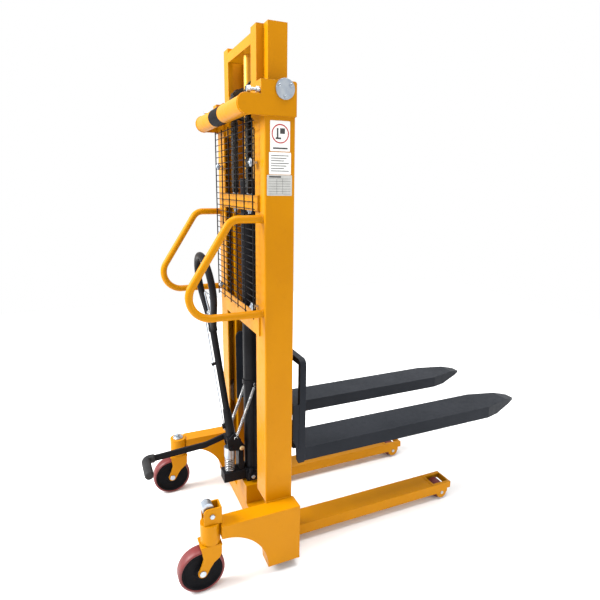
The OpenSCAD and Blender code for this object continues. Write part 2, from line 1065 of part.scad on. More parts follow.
module tiller_loop() {
    color(black)
        union() {
            along_tiller(neck)
                cylinder(h = 34, r = 17);
            both()
                along_tiller(neck)
                    rotate([0, loop_a, 0])
                        union() {
                            translate([0, 0, 18])
                                cylinder(h = loop_t - 18, r = 14);
                            translate([0, 0, loop_t - 5])
                                cylinder(h = 10, r = 15);
                        }
            along_tiller(ring_s)
                rotate([90, 0, 0])
                    rotate([0, 0, -loop_a])
                        rotate_extrude(angle = 180 + 2 * loop_a)
                            translate([loop_r, 0])
                                circle(14);
            along_tiller(lever_s)
                rod_x(-62, 62, 0, 0, 5);
        }
}

module release_lever() {
    color(steel)
        along_tiller(lever_s)
            difference() {
                union() {
                    rod_x(-24, 24, 0, 0, 9);
                    for (s = [-1, 1])
                        translate([s * 12, 0, 0])
                            rotate([0, s * 20, 0])
                                translate([0, 0, 6])
                                    cylinder(h = 88, r = 3);
                    translate([0, 0, 88])
                        rod_x(-50, 50, 0, 0, 4);
                    translate([-4, -rod_off - 3, -5])
                        cube([8, rod_off - 3, 6]);
                }
                rod_x(-25, 25, 0, 0, 5 + fit);
            }
}

module release_rod() {
    color(steel)
        along_tiller(10)
            translate([0, -rod_off, 0])
                cylinder(h = lever_s - 10 - 6.3, r = 3);
}

module return_springs() {
    dy = cyl_y - lug_y;
    dz = clamp_z - lug_z;
    d = norm([dy, dz]);
    color(steel)
        both()
            translate([spring_x, lug_y, lug_z])
                rotate([-atan2(dy, dz), 0, 0])
                    translate([0, 0, 5 + gap])
                        cylinder(h = d - 10 - 2 * gap, r = 7);
}

// ---- small parts ----

module hex_x(x0, x1, y, z, r) {
    translate([x0, y, z])
        rotate([0, 90, 0])
            cylinder(h = x1 - x0, r = r, $fn = 6);
}

module stop_bolt() {
    rod_y(column_x - 8, -58, -1, mast_h - 31, 6);
    for (y = [-59, -28])
        translate([column_x - 8, y, mast_h - 31])
            rotate([-90, 0, 0])
                cylinder(h = 14, r = 10.5, $fn = 6);
}

module mesh_stud(z) {
    rod_y(column_x - 80, mesh_y - 8, 0, z, 4);
    rod_y(column_x - 80, mesh_y - 0.5, mesh_y + 2.5, z, 15);
    rod_y(column_x - 80, mesh_y + 6, mesh_y + 9, z, 15);
}

module fasteners() {
    color(steel)
        union() {
            both()
                union() {
                    for (a = [33, 155, 268])
                        hex_x(column_x + 12, column_x + 17, roll_y + 24 * cos(a), top_pin_z + 24 * sin(a), 6);
                    stop_bolt();
                    mesh_stud(mesh_z0 + 37.5);
                    mesh_stud(mesh_z0 + 562.5);
                }
            rod_x(brake_x0 - 5, brake_x1 + 5, brake_y, brake_z, 6);
            hex_x(brake_x1, brake_x1 + 6, brake_y, brake_z, 10);
            hex_x(brake_x0 - 6, brake_x0, brake_y, brake_z, 10);
            left()
                union() {
                    rod_z(swivel_x, swivel_y, house_z1, house_z1 + 12, 22);
                    translate([swivel_x, swivel_y, house_z1 + 11])
                        cylinder(h = 9, r = 10, $fn = 6);
                }
            hex_x(60, 68, 30, 239, 8);
        }
}

placed() column_r();
placed() column_l();
placed() side_plates();
placed() cross_tube();
placed() mid_crossbar();
placed() lower_crossbar();
placed() cross_beam();
placed() beam_r();
placed() beam_l();
placed() leg_r();
placed() leg_l();
placed() leg_axles();
placed() grab_handle_r();
placed() grab_handle_l();
placed() mesh_guard();
placed() lift_cylinder();
placed() pump_body();
placed() chain_anchors();
placed() roller_axles();
placed() fasteners();
placed() caster_housings();
placed() brake_bracket();
placed() brake_pedal();
placed() chains_rear();
placed() chains_front();
placed() return_springs();
placed() pump_spring();
placed() inner_upright_r();
placed() inner_upright_l();
placed() inner_crossbars();
placed() sheave_brackets();
placed() piston_rod();
placed() chain_wraps();
placed() sheaves();
placed() guide_pads();
placed() mast_rollers();
placed() carriage_frame();
placed() carriage_cheeks();
placed() backrest();
placed() fork_r();
placed() fork_l();
placed() carriage_anchors();
placed() carriage_rollers_upper();
placed() carriage_rollers_lower();
placed() rocker();
placed() pedal_bar();
placed() pedal_grip();
placed() tiller_tube();
placed() tiller_loop();
placed() release_lever();
placed() release_rod();
placed() plunger();
placed() caster_fork_r();
placed() caster_fork_l();
placed() caster_axle_r();
placed() caster_axle_l();
placed() caster_wheel_r();
placed() caster_wheel_l();
placed() leg_roller_r();
placed() leg_roller_l();
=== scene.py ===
import json
import math
import bpy
import bmesh
from mathutils import Matrix, Vector


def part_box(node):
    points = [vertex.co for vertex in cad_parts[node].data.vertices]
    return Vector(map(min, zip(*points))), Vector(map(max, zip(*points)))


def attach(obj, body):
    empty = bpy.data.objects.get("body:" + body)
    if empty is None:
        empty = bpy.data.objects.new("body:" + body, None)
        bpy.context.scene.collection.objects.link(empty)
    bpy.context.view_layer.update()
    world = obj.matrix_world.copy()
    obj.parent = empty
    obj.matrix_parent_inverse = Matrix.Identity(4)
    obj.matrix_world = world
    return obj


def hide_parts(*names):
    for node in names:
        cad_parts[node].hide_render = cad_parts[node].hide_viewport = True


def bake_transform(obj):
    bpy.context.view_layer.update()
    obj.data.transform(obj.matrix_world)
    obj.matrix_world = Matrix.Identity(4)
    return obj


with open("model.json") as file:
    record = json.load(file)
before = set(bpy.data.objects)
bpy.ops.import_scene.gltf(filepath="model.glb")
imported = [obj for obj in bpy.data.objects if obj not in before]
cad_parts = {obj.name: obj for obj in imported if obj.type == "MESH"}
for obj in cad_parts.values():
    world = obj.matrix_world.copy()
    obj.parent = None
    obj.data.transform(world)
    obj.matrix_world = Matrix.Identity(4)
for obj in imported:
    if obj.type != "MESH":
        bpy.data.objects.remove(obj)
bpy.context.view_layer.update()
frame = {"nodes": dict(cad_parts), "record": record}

NODES = frame["nodes"]
ORIGIN_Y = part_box("column_r")[0][1]  # the mast's rear face


def V(x, y, z):
    """A point in millimetres, measured from the mast's rear face, as a place in the row frame."""
    return Vector((x / 1000, ORIGIN_Y + y / 1000, z / 1000))


# ---- camera, floor and light ----

AZ, EL, ROLL = math.radians(66.41), math.radians(-13.12), math.radians(0.62)
fwd = Vector((-math.sin(AZ) * math.cos(EL), math.cos(AZ) * math.cos(EL), math.sin(EL)))
right = Vector((math.cos(AZ), math.sin(AZ), 0))
up = right.cross(fwd)
cam_right = right * math.cos(ROLL) + up * math.sin(ROLL)
cam_up = up * math.cos(ROLL) - right * math.sin(ROLL)
cam_data = bpy.data.cameras.new("camera")
cam = bpy.data.objects.new("camera", cam_data)
bpy.context.scene.collection.objects.link(cam)
basis = Matrix((cam_right, cam_up, -fwd)).transposed().to_4x4()
cam.matrix_world = Matrix.Translation(V(1906.0, -581.3, 1520.2)) @ basis
cam_data.sensor_width = 36
cam_data.lens = 28.81
cam_data.shift_x = 0.0091
cam_data.shift_y = -0.0024
cam_data.clip_end = 60
bpy.context.scene.camera = cam

scene = bpy.context.scene
scene.view_settings.view_transform = "Standard"
world = bpy.data.worlds.new("studio")
scene.world = world
world.use_nodes = True
world.node_tree.nodes["Background"].inputs[0].default_value = (1, 1, 1, 1)
world.node_tree.nodes["Background"].inputs[1].default_value = 1.0


def area(name, place, target, size, power):
    """A square lamp at place, facing target."""
    data = bpy.data.lights.new(name, "AREA")
    data.size = size
    data.energy = power
    lamp = bpy.data.objects.new(name, data)
    lamp.location = place
    lamp.rotation_euler = (Vector(target) - Vector(place)).to_track_quat("-Z", "Y").to_euler()
    scene.collection.objects.link(lamp)


area("key", (-0.6, -3.7, 3.2), (0, -0.3, 0.8), 2.0, 310)
area("top", (0.2, 0.1, 4.2), (0, 0.1, 0.3), 2.2, 190)
area("low", (1.9, 1.7, 0.7), (0.2, 0.4, 0.05), 0.8, 12)


# ---- materials ----

def mix_rgb(nt, fac, a, b, kind="MIX"):
    n = nt.nodes.new("ShaderNodeMix")
    n.data_type = "RGBA"
    n.blend_type = kind
    for sock, val in ((n.inputs[0], fac), (n.inputs[6], a), (n.inputs[7], b)):
        if isinstance(val, bpy.types.NodeSocket):
            nt.links.new(val, sock)
        elif isinstance(val, tuple):
            sock.default_value = (*val, 1)
        else:
            sock.default_value = val
    return n.outputs[2]


def noise(nt, coord, scale, detail=4, rough=0.55):
    n = nt.nodes.new("ShaderNodeTexNoise")
    n.inputs["Scale"].default_value = scale
    n.inputs["Detail"].default_value = detail
    n.inputs["Roughness"].default_value = rough
    nt.links.new(coord, n.inputs["Vector"])
    return n.outputs["Fac"]


def remap(nt, val, a, b, c, d):
    n = nt.nodes.new("ShaderNodeMapRange")
    n.inputs[1].default_value = a
    n.inputs[2].default_value = b
    n.inputs[3].default_value = c
    n.inputs[4].default_value = d
    nt.links.new(val, n.inputs[0])
    return n.outputs[0]


def times(nt, a, b):
    n = nt.nodes.new("ShaderNodeMath")
    n.operation = "MULTIPLY"
    nt.links.new(a, n.inputs[0])
    nt.links.new(b, n.inputs[1])
    return n.outputs[0]


def material(name, c1, c2, rough, metal=0.0, scale=5, grain=500, bump=0.05, edge=None, edge_amt=0.5,
             bevel=0.0012, dirt=0.0, stretch=(1, 1, 1), spread=0.07, shine=0.5):
    """A coat that drifts between two colours, with worn edges, dirt and a fine grain."""
    m = bpy.data.materials.new(name)
    m.use_nodes = True
    nt = m.node_tree
    b = nt.nodes["Principled BSDF"]
    b.inputs["Metallic"].default_value = metal
    b.inputs["Specular IOR Level"].default_value = shine
    tc = nt.nodes.new("ShaderNodeTexCoord")
    mp = nt.nodes.new("ShaderNodeMapping")
    mp.inputs["Scale"].default_value = stretch
    nt.links.new(tc.outputs["Object"], mp.inputs["Vector"])
    co = mp.outputs[0]
    big = noise(nt, co, scale, 5)
    mid = noise(nt, co, scale * 9, 6, 0.65)
    col = mix_rgb(nt, remap(nt, big, 0.35, 0.65, 0, 1), c1, c2)
    if dirt:
        col = mix_rgb(nt, remap(nt, mid, 0.56, 0.75, 0, dirt), col, tuple(v * 0.35 for v in c1))
    bev = nt.nodes.new("ShaderNodeBevel")
    bev.samples = 4
    bev.inputs["Radius"].default_value = bevel
    if edge:
        geo = nt.nodes.new("ShaderNodeNewGeometry")
        dot = nt.nodes.new("ShaderNodeVectorMath")
        dot.operation = "DOT_PRODUCT"
        nt.links.new(bev.outputs[0], dot.inputs[0])
        nt.links.new(geo.outputs["Normal"], dot.inputs[1])
        worn = remap(nt, dot.outputs["Value"], 0.98, 0.80, 0, 1)
        patchy = remap(nt, mid, 0.48, 0.62, 0, edge_amt)
        col = mix_rgb(nt, times(nt, worn, patchy), col, edge)
    nt.links.new(col, b.inputs["Base Color"])
    nt.links.new(remap(nt, mid, 0.3, 0.7, rough - spread, rough + spread), b.inputs["Roughness"])
    fine = noise(nt, co, grain, 2)
    bm = nt.nodes.new("ShaderNodeBump")
    bm.inputs["Strength"].default_value = bump
    bm.inputs["Distance"].default_value = 0.001
    nt.links.new(fine, bm.inputs["Height"])
    nt.links.new(bev.outputs[0], bm.inputs["Normal"])
    nt.links.new(bm.outputs[0], b.inputs["Normal"])
    return m


YEL = material("yellow_coat", (0.465, 0.186, 0.0003), (0.43, 0.168, 0.0003), 0.36, 0, 4, 420, 0.10,
               (0.36, 0.13, 0.01), 0.5, bevel=0.0018, dirt=0.10, shine=0.09)
BLK = material("black_coat", (0.006, 0.006, 0.007), (0.011, 0.011, 0.013), 0.36, 0, 6, 500, 0.12,
               (0.10, 0.10, 0.11), 0.4, bevel=0.0015, dirt=0.10, shine=0.07)
FRK = material("fork_coat", (0.010, 0.012, 0.016), (0.015, 0.017, 0.022), 0.40, 0, 5, 700, 0.16,
               (0.14, 0.14, 0.15), 0.5, bevel=0.002, dirt=0.15, shine=0.07)
ZNC = material("zinc_plate", (0.34, 0.39, 0.46), (0.46, 0.50, 0.54), 0.34, 0.9, 30, 900, 0.06,
               (0.75, 0.76, 0.78), 0.5, bevel=0.0008, dirt=0.15)
GLD = material("yellow_zinc", (0.62, 0.50, 0.26), (0.72, 0.62, 0.38), 0.34, 0.9, 40, 900, 0.06,
               (0.8, 0.75, 0.6), 0.4, bevel=0.0006, dirt=0.15)
STL = material("oiled_steel", (0.22, 0.22, 0.23), (0.34, 0.34, 0.35), 0.36, 0.95, 22, 900, 0.08,
               (0.6, 0.6, 0.6), 0.5, bevel=0.0008, dirt=0.3)
# Piston rod chrome: its yellow-orange base colour is a painted reflection of the yellow mast around it.
ROD_CHROME_YELLOW_REFLECTION = material("chrome_painted_yellow_reflection", (0.62, 0.30, 0.02), (0.66, 0.34, 0.03), 0.38, 0.5, 14, 1200, 0.02,
               stretch=(1, 1, 0.1), spread=0.04)
CHN = material("greased_chain", (0.012, 0.012, 0.012), (0.035, 0.033, 0.030), 0.40, 0.6, 60, 700, 0.12,
               (0.16, 0.15, 0.14), 0.5, bevel=0.0005, dirt=0.3)
RED = material("red_tread", (0.15, 0.010, 0.010), (0.11, 0.009, 0.009), 0.48, 0, 14, 600, 0.14,
               (0.42, 0.14, 0.10), 0.5, bevel=0.001, dirt=0.35)
HUB = material("black_hub", (0.003, 0.003, 0.004), (0.005, 0.005, 0.006), 0.55, 0, 20, 600, 0.10,
               (0.06, 0.06, 0.06), 0.4, bevel=0.001, dirt=0.2, shine=0.05)
RUB = material("grip_rubber", (0.008, 0.008, 0.009), (0.014, 0.014, 0.015), 0.62, 0, 20, 350, 0.30,
               bevel=0.001, dirt=0.15, shine=0.3)
SPR = material("spring_steel", (0.42, 0.43, 0.44), (0.58, 0.58, 0.58), 0.28, 1.0, 60, 900, 0.05,
               bevel=0.0003, dirt=0.2)
WHT = material("label_white", (0.78, 0.78, 0.76), (0.72, 0.72, 0.70), 0.38, 0, 30, 600, 0.04,
               bevel=0.0003)
SIL = material("label_silver", (0.40, 0.40, 0.38), (0.46, 0.46, 0.44), 0.42, 0.1, 40, 600, 0.05,
               bevel=0.0003)
INK = material("label_ink", (0.02, 0.02, 0.022), (0.035, 0.035, 0.036), 0.5, 0, 40, 600, 0.03,
               bevel=0.0002)
INR = material("label_red", (0.42, 0.02, 0.02), (0.36, 0.02, 0.02), 0.5, 0, 40, 600, 0.03,
               bevel=0.0002)

SLOT_MAT = {"yellow_paint": YEL, "black_paint": BLK, "zinc": ZNC, "bare_steel": STL, "rod_chrome": ROD_CHROME_YELLOW_REFLECTION,
            "chain_steel": CHN, "wheel_tread": RED, "grip_rubber": RUB}
slot_of = {s["node"]: s["material_slot"] for s in frame["record"]["subparts"]}
for name, ob in NODES.items():
    mat = SLOT_MAT[slot_of[name]]
    if name in ("fork_r", "fork_l", "carriage_frame", "carriage_cheeks", "backrest"):
        mat = FRK
    if name == "sheaves":
        mat = CHN
    if not ob.material_slots:
        ob.data.materials.append(mat)
    for s in ob.material_slots:
        s.link = "OBJECT"
        s.material = mat


# ---- mesh helpers ----

def piece(name, verts, faces, mat, body, smooth=None, stand_for=()):
    me = bpy.data.meshes.new(name)
    me.from_pydata([tuple(v) for v in verts], [], faces)
    me.validate()
    bm = bmesh.new()
    bm.from_mesh(me)
    bmesh.ops.recalc_face_normals(bm, faces=bm.faces)
    bm.to_mesh(me)
    bm.free()
    if smooth is not None:
        for p in me.polygons:
            p.use_smooth = True
        me.set_sharp_from_angle(angle=math.radians(smooth))
    ob = bpy.data.objects.new(name, me)
    scene.collection.objects.link(ob)
    me.materials.append(mat)
    if body:
        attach(ob, body)
    if stand_for:
        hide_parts(*stand_for)
    return ob


# The faces of a block whose corners are one end's four and then the other end's four
BLOCK = [[0, 1, 2, 3], [7, 6, 5, 4], [0, 4, 5, 1], [1, 5, 6, 2], [2, 6, 7, 3], [3, 7, 4, 0]]


def prism_faces(n):
    """The faces between two rings of n corners each, and the two ends."""
    sides = [[k, (k + 1) % n, n + (k + 1) % n, n + k] for k in range(n)]
    return [list(range(n))[::-1], [n + k for k in range(n)]] + sides


def mirrored(half):
    """A closed lathe profile that is the same on both sides of its middle, from the half on the low side."""
    return half + [(r, -h) for r, h in reversed(half)]


class Mesh:
    """Collects solids into one mesh."""

    def __init__(self):
        self.v = []
        self.f = []

    def add(self, verts, faces):
        n = len(self.v)
        self.v += [Vector(v) for v in verts]
        self.f += [[i + n for i in f] for f in faces]

    def tube(self, pts, r, sides=12, closed=False, caps=True, ref=None):
        """Sweeps a circle along points; r is a number or a list, one per point."""
        pts = [Vector(p) for p in pts]
        n = len(pts)
        rs = r if isinstance(r, (list, tuple)) else [r] * n
        dirs = []
        for i in range(n):
            a = pts[i - 1] if (i or closed) else pts[0]
            b = pts[(i + 1) % n] if (i < n - 1 or closed) else pts[-1]
            dirs.append((b - a).normalized())
        nrm = Vector(ref) if ref else dirs[0].orthogonal()
        vs, fs = [], []
        for i in range(n):
            nrm = (nrm - dirs[i] * nrm.dot(dirs[i])).normalized()
            side = dirs[i].cross(nrm)
            for k in range(sides):
                a = 2 * math.pi * k / sides
                vs.append(pts[i] + (nrm * math.cos(a) + side * math.sin(a)) * rs[i])
        for i in range(n if closed else n - 1):
            j = (i + 1) % n
            for k in range(sides):
                q = (k + 1) % sides
                fs.append([i * sides + k, i * sides + q, j * sides + q, j * sides + k])
        if caps and not closed:
            fs.append(list(range(sides))[::-1])
            fs.append([(n - 1) * sides + k for k in range(sides)])
        self.add(vs, fs)

    def lathe(self, centre, axis, prof, segs=48):
        """Turns a closed profile of (radius, distance along axis) round the axis through centre."""
        c = Vector(centre)
        ax = Vector(axis).normalized()
        u = ax.orthogonal().normalized()
        w = ax.cross(u)
        m = len(prof)
        vs, fs = [], []
        for k in range(segs):
            a = 2 * math.pi * k / segs
            d = u * math.cos(a) + w * math.sin(a)
            vs += [c + d * (r / 1000) + ax * (h / 1000) for r, h in prof]
        for k in range(segs):
            q = (k + 1) % segs
            for i in range(m):
                j = (i + 1) % m
                fs.append([k * m + i, k * m + j, q * m + j, q * m + i])
        self.add(vs, fs)

    def prism(self, centre, axis, up_dir, outline, h0, h1, chamfer=0.0):
        """Extrudes an outline of (across, up) points along axis from h0 to h1, with chamfered rims."""
        c = Vector(centre)
        ax = Vector(axis).normalized()
        upv = Vector(up_dir).normalized()
        ac = upv.cross(ax)
        n = len(outline)
        mx = sum(p[0] for p in outline) / n
        my = sum(p[1] for p in outline) / n
        big = max(math.hypot(p[0] - mx, p[1] - my) for p in outline)
        k = (big - chamfer) / big
        rings = [(h0, 1), (h1, 1)]
        if chamfer:
            rings = [(h0, k), (h0 + chamfer, 1), (h1 - chamfer, 1), (h1, k)]
        vs, fs = [], []
        for h, s in rings:
            for p in outline:
                x, y = mx + (p[0] - mx) * s, my + (p[1] - my) * s
                vs.append(c + (ac * x + upv * y + ax * h) / 1000)
        for i in range(len(rings) - 1):
            for j in range(n):
                q = (j + 1) % n
                fs.append([i * n + j, i * n + q, (i + 1) * n + q, (i + 1) * n + j])
        fs.append(list(range(n))[::-1])
        fs.append([(len(rings) - 1) * n + j for j in range(n)])
        self.add(vs, fs)

    def hexagon(self, centre, axis, r, h0, h1, turn=0.0):
        pts = [(r * math.cos(turn + i * math.pi / 3), r * math.sin(turn + i * math.pi / 3))
               for i in range(6)]
        ref = Vector((0, 0, 1)) if abs(Vector(axis).z) < 0.9 else Vector((0, 1, 0))
        self.prism(centre, axis, ref, pts, h0, h1, chamfer=min(1.2, (h1 - h0) / 4))

    def washer(self, centre, axis, r, h0, h1, hole=0.0):
        c = min(0.5, (h1 - h0) / 3)
        inner = max(hole, 0.2)
        self.lathe(centre, axis, [(inner, h0), (r - c, h0), (r, h0 + c), (r, h1 - c), (r - c, h1),
                                  (inner, h1)], 32)

    def socket_screw(self, centre, axis, r, h):
        """A cap screw with a hexagon socket, its head standing h above centre."""
        s = r * 0.5
        self.lathe(centre, axis, [(0.2, 0), (r, 0), (r, h - 0.6), (r - 0.6, h), (s, h), (s, h * 0.45),
                                  (0.2, h * 0.45)], 24)

    def put(self, name, mat, body, smooth=30, stand_for=(), slot=None):
        return piece(name, self.v, self.f, mat, body, smooth, stand_for)


def arc_path(vertices, radii, step=8):
    """A polyline with each inner corner rounded to its radius."""
    out = [Vector(vertices[0])]
    for i in range(1, len(vertices) - 1):
        p, q, s = (Vector(vertices[i + k]) for k in (-1, 0, 1))
        a, b = (p - q).normalized(), (s - q).normalized()
        ang = a.angle(b)
        r = radii[i - 1] / 1000
        t = r / math.tan(ang / 2)
        c = q + (a + b).normalized() * (r / math.sin(ang / 2))
        v0, v1 = q + a * t - c, q + b * t - c
        turn = v0.angle(v1)
        axis = v0.cross(v1).normalized()
        n = max(4, int(math.degrees(turn) / step))
        for k in range(n + 1):
            out.append(c + Matrix.Rotation(turn * k / n, 3, axis) @ v0)
    out.append(Vector(vertices[-1]))
    return out


def dense(pts, gap_mm):
    """Adds points so that none are further apart than gap_mm."""
    out = [pts[0]]
    for a, b in zip(pts, pts[1:]):
        n = max(1, int((b - a).length * 1000 / gap_mm))
        out += [a + (b - a) * k / n for k in range(1, n + 1)]
    return out


def weld(mesh, a, b, r=2.6, seed=0):
    """A rippled bead between two points."""
    a, b = Vector(a), Vector(b)
    n = max(6, int((b - a).length * 1000 / 2.2))
    pts = [a + (b - a) * k / n for k in range(n + 1)]
    rs = [r / 1000 * (0.86 + 0.16 * math.sin(k * 2.1 + seed) + 0.05 * math.sin(k * 0.37 + seed * 3))
          for k in range(n + 1)]
    rs[0] *= 0.5
    rs[-1] *= 0.5
    mesh.tube(pts, rs, 6)


def both(fn):
    for s, tag in ((1, "r"), (-1, "l")):
        fn(s, tag)


# ---- grab handles ----

GRAB_X, GRAB_TOP, GRAB_FOOT = 280, 1407, 1060


def grab(s, tag):
    m = Mesh()
    x = GRAB_X * s
    path = arc_path([V(x, 0, GRAB_TOP), V(x, -113, GRAB_TOP), V(x, -334, GRAB_FOOT),
                     V(x, 0, GRAB_FOOT)], [50, 78], 6)
    m.tube(dense(path, 12), 0.014, 24, ref=(1, 0, 0))
    for z in (GRAB_TOP, GRAB_FOOT):
        ring = [V(x, -1.5, z) + Vector((math.cos(a), 0, math.sin(a))) * 0.0150
                for a in (2 * math.pi * k / 60 for k in range(60))]
        m.tube(ring, [0.0024 * (0.85 + 0.2 * math.sin(k * 2.1)) for k in range(60)], 6, closed=True)
    m.put("grab_bar_" + tag, YEL, "frame", 40, ("grab_handle_" + tag,), "yellow_paint")


both(grab)


# ---- mesh guard ----

WIRES, WIRE_GAP, WIRE_Z0, GUARD_Y = 29, 25, 1040, -24


def guard():
    m = Mesh()
    y = GUARD_Y
    for x in (50, 150, 250):
        for s in (1, -1):
            m.tube([V(x * s, y - 1, 1032), V(x * s, y - 1, 1748)], 0.0025, 8)
    for i in range(WIRES):
        z = WIRE_Z0 + WIRE_GAP * i
        m.tube(dense([V(-258, y + 3.4, z), V(258, y + 3.4, z)], 90), 0.00175, 8)
    m.put("guard_wires", BLK, "frame", 40, ("mesh_guard",), "black_paint")


guard()


# ---- chains ----

PITCH, PLATE_W, PLATE_T = 19.05, 11.6, 4.2
LACED = ((-9.5, 0, 9.5), (-13.7, -4.75, 4.75, 13.7))  # plates across the chain, on alternate links
CHAIN_X, SHEAVE_Y, SHEAVE_Z, WRAP_R = 93, 62, 1843, 47.15
RUN_TOP, REAR_FOOT, FRONT_FOOT = 1841, 1502, 692
PIN_HALF, PIN_R = 15.8, 0.0045


def link_plate(m, cx, y, z, w, pitch, th):
    """One leaf plate with waisted sides, lying in the Y-Z plane at cx."""
    pts = []
    for end, zc in ((1, z + pitch / 2), (-1, z - pitch / 2)):
        for k in range(7):
            a = math.radians(-8 + 196 * k / 6)
            pts.append((w * math.cos(a) * end, zc - z + w * math.sin(a) * end))
    pts.insert(7, (-w * 0.78, 0))
    pts.append((w * 0.78, 0))
    n = len(pts)
    vs = []
    for dx in (-th / 2, th / 2):
        vs += [V(cx + dx, y + p[0], z + p[1]) for p in pts]
    m.add(vs, prism_faces(n))


def chain_run(m, cx, y, z0, z1):
    """A straight leaf chain at cx, y from z0 up to z1, its pitch fitted to whole links."""
    pitch = (z1 - z0) / round((z1 - z0) / PITCH)
    n = round((z1 - z0) / pitch)
    for k in range(n):
        z = z0 + pitch * (k + 0.5)
        for o in LACED[k % 2]:
            link_plate(m, cx + o, y, z, PLATE_W, pitch, PLATE_T)
        pin_z = z0 + pitch * k + 0.01
        m.tube([V(cx - PIN_HALF, y, pin_z), V(cx + PIN_HALF, y, pin_z)], PIN_R, 10)


def chains():
    rear, front, wrap = Mesh(), Mesh(), Mesh()
    for s in (1, -1):
        cx = CHAIN_X * s
        chain_run(rear, cx, SHEAVE_Y - WRAP_R, REAR_FOOT, RUN_TOP)
        chain_run(front, cx, SHEAVE_Y + WRAP_R, FRONT_FOOT, RUN_TOP)
        n = 8
        for k in range(n):
            a = math.pi * (k + 0.5) / n
            part = Mesh()
            for o in LACED[k % 2]:
                link_plate(part, cx + o, SHEAVE_Y, SHEAVE_Z, PLATE_W, 18.4, PLATE_T)
            turn = Matrix.Rotation(a - math.pi, 4, "X")
            mid = V(cx, SHEAVE_Y, SHEAVE_Z)
            lift = Vector((0, -math.cos(a), math.sin(a))) * WRAP_R / 1000
            part.v = [mid + turn @ (v - mid) + lift for v in part.v]
            wrap.add(part.v, part.f)
            b = math.pi * k / n
            c = mid + Vector((0, -math.cos(b), math.sin(b))) * WRAP_R / 1000
            half = Vector((PIN_HALF / 1000, 0, 0))
            wrap.tube([c - half, c + half], PIN_R, 10)
    wrap.put("chain_over_sheaves", CHN, "inner_mast", 35, ("chain_wraps",), "chain_steel")
    a = rear.put("chain_run_rear", CHN, None, 35)
    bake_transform(a)
    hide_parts("chains_rear")
    b = front.put("chain_run_front", CHN, None, 35)
    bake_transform(b)
    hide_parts("chains_front")


chains()


# ---- springs ----

def coil(m, a, b, radius, wire, turns, hooks=False, per=20):
    """A helix of wire from a to b; without hooks its end turns lie flat."""
    a, b = Vector(a), Vector(b)
    ax = (b - a).normalized()
    u = Vector((1, 0, 0))
    w = ax.cross(u).normalized()
    n = int(turns * per)
    pts = []
    for k in range(n + 1):
        t = k / n
        if not hooks:
            t = max(0, min(1, (k - per * 0.8) / (n - per * 1.6)))
        ang = 2 * math.pi * k / per
        pts.append(a + (b - a) * t + (u * math.cos(ang) + w * math.sin(ang)) * radius / 1000)
    m.tube(pts, wire / 1000, 8)


def springs():
    m = Mesh()
    coil(m, V(0, -61, 266), V(0, -61, 326), 20.6, 2.1, 8.5, per=26)
    s = m.put("pump_coil", SPR, None, 60)
    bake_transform(s)
    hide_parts("pump_spring")
    m = Mesh()
    lo, hi = Vector((0, -45, 440)), Vector((0, 46, 680))
    d = (hi - lo).normalized()
    for sx in (52, -52):
        p0, p1 = lo + d * 16, hi - d * 16
        coil(m, V(sx, p0.y, p0.z), V(sx, p1.y, p1.z), 5.6, 1.15, 62, True, 12)
        for end, inward in ((lo, d), (hi, -d)):
            c = V(sx, end.y, end.z)
            side = Vector((0, d.z, -d.y))
            ring = [c + (inward * math.cos(t) + side * math.sin(t)) * 0.0068
                    for t in (math.radians(-150 + 300 * k / 20) for k in range(21))]
            m.tube(ring, 0.00115, 8)
            m.tube([c + inward * 0.0068, c + inward * 0.0165], 0.00115, 8)
    s = m.put("return_coils", SPR, None, 60)
    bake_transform(s)
    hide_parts("return_springs")


springs()


# ---- wheels and rollers ----

SWIVEL_X, WHEEL_Y, WHEEL_R = 335, -275, 90


def wheel(s, tag):
    c = V(SWIVEL_X * s, WHEEL_Y, WHEEL_R)
    tread, hub, steel = Mesh(), Mesh(), Mesh()
    tread.lathe(c, (1, 0, 0), mirrored([(78, -21.5), (79, -24), (82, -25), (86, -23.5), (88.6, -19),
                                        (WHEEL_R, -12)]), 96)
    hub.lathe(c, (1, 0, 0), mirrored([(18, -27), (25, -27), (27, -24), (33, -18), (62, -17), (69, -20),
                                      (72, -23.5), (78.2, -23.5)]), 72)
    steel.lathe(c, (1, 0, 0), mirrored([(8.1, -27.6), (17, -27.6), (18, -26.8)]), 40)
    for side in (1, -1):
        steel.lathe(c, (side, 0, 0), [(10.5, 27.5), (15.5, 27.5), (15, 27.9), (11, 27.9)], 40)
    tread.put("wheel_tread_" + tag, RED, "wheel_" + tag, 25, ("caster_wheel_" + tag,), "wheel_tread")
    hub.put("wheel_hub_" + tag, HUB, "wheel_" + tag, 30, (), "black_paint")
    steel.put("wheel_bearing_" + tag, ZNC, "wheel_" + tag, 30, (), "zinc")


both(wheel)


LEG_X, ROLLER_Y, ROLLER_R = 210, 953, 38


def load_roller(s, tag):
    c = V(LEG_X * s, ROLLER_Y, ROLLER_R)
    body, steel = Mesh(), Mesh()
    body.lathe(c, (1, 0, 0), mirrored([(16, -31), (18, -32), (34, -32), (36.8, -30), (ROLLER_R, -26)]), 72)
    steel.lathe(c, (1, 0, 0), mirrored([(8.1, -41), (13, -41), (14, -40), (14, -33), (16.2, -32.4)]), 40)
    body.put("load_tread_" + tag, RED, "load_roller_" + tag, 25, ("leg_roller_" + tag,), "wheel_tread")
    steel.put("load_bearing_" + tag, ZNC, "load_roller_" + tag, 30, (), "zinc")


both(load_roller)


# ---- pump handle ----

LEAN = math.radians(7.6)  # the handle's tilt towards the operator, and its own directions and base
ALONG = Vector((0, -math.sin(LEAN), math.cos(LEAN)))
BACK = Vector((0, -math.cos(LEAN), -math.sin(LEAN)))
BASE = V(0, -57, 457)
NECK = 474  # where the loop starts along the handle
LEVER_S = NECK + 78


def on_handle(x, s, back=0.0):
    """A point on the handle: x across, s along it from its base, back to the operator, in millimetres."""
    return BASE + Vector((x / 1000, 0, 0)) + ALONG * s / 1000 + BACK * back / 1000


